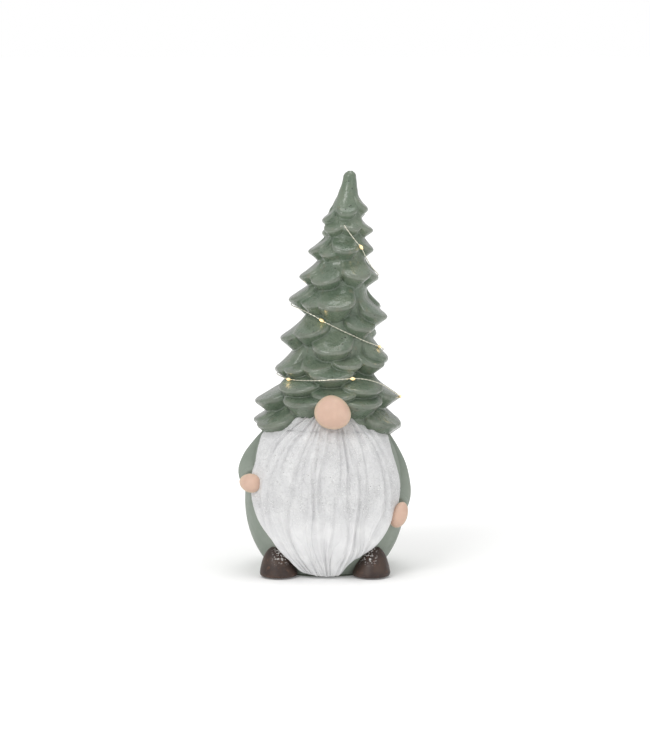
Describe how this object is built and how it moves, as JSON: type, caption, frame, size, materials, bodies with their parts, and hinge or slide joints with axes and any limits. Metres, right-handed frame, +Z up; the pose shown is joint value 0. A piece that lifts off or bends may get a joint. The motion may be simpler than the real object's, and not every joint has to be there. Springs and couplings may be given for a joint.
{
  "type": "tomte gnome figurine",
  "caption": "Ceramic bearded gnome whose tall hat is a fir tree wound with a string of lights, with a screw-closed battery box and a slide switch in its base.",
  "frame": {"origin": "on the table under the axis of the body", "axes": "+Z up, the figure faces -Y, +X is the figure's left"},
  "size_m": [0.1302, 0.1285, 0.3],
  "materials": {
    "hat_glaze": "glossy sage-green glaze, thin and grey at the edges, with dark pinholes",
    "body_glaze": "smooth matte sage-green engobe",
    "beard_glaze": "white, gritty in the upper half and smooth at the foot",
    "skin_glaze": "smooth matte peach",
    "boot_glaze": "dark brown, satin",
    "silvered_wire": "fine silvered copper wire",
    "clear_resin": "clear resin, lit warm white",
    "led_chip": "small lit chip and board components",
    "soft_plug": "translucent silicone",
    "shrink_tube": "black heat-shrink tube",
    "red_insulation": "red insulation",
    "black_insulation": "black insulation",
    "box_plastic": "black fine-textured moulding",
    "door_plastic": "black fine-textured moulding",
    "cell_jacket": "plain printed jacket, no marks",
    "plated_steel": "nickel-plated steel",
    "retainer_plastic": "white washer",
    "switch_plastic": "black switch case",
    "knob_plastic": "pale grey slider",
    "circuit_board": "green solder mask",
    "felt": "dense pressed felt"
  },
  "bodies": {
    "figure": {"hat_shell": "hat_glaze", "body_shell": "body_glaze", "beard": "beard_glaze", "nose": "skin_glaze", "right_sleeve": "body_glaze", "left_sleeve": "body_glaze", "right_hand": "skin_glaze", "left_hand": "skin_glaze", "right_boot": "boot_glaze", "left_boot": "boot_glaze", "light_wire": "silvered_wire", "led_beads": "clear_resin", "led_chips": "led_chip", "hole_plugs": "soft_plug", "splice_sleeve": "shrink_tube", "lead_red": "red_insulation", "lead_black": "black_insulation", "battery_box": "box_plastic", "box_sealant": "soft_plug", "battery_front": "cell_jacket", "battery_back": "cell_jacket", "contact_plates": "plated_steel", "contact_springs": "plated_steel", "switch_housing": "switch_plastic", "timer_board": "circuit_board", "board_components": "led_chip", "board_screws": "plated_steel", "felt_ring": "felt"},
    "battery_door": {"battery_door": "door_plastic"},
    "screw_retainer": {"screw_retainer": "retainer_plastic"},
    "door_screw": {"door_screw": "plated_steel"},
    "switch_knob": {"switch_knob": "knob_plastic"}
  },
  "joints": [
    {"name": "battery_door_hinge", "type": "hinge", "parent": "figure", "child": "battery_door", "pos_m": [-0.0296, -0.0032, 0.0017], "axis": [0, 1, 0], "range_deg": [0, 100]},
    {"name": "screw_travel", "type": "slide", "parent": "battery_door", "child": "screw_retainer", "axis": [0, 0, -1], "range_m": [0, 0.0024]},
    {"name": "screw_turn", "type": "hinge", "parent": "screw_retainer", "child": "door_screw", "pos_m": [0.0279, -0.0032, 0], "axis": [0, 0, -1], "range_deg": [0, 1080]},
    {"name": "switch_slide", "type": "slide", "parent": "figure", "child": "switch_knob", "axis": [1, 0, 0], "range_m": [0, 0.004]}
  ],
  "couplings": [
    {"joint": "screw_turn", "follows": "screw_travel", "rad_per_m": 7853.9}
  ]
}
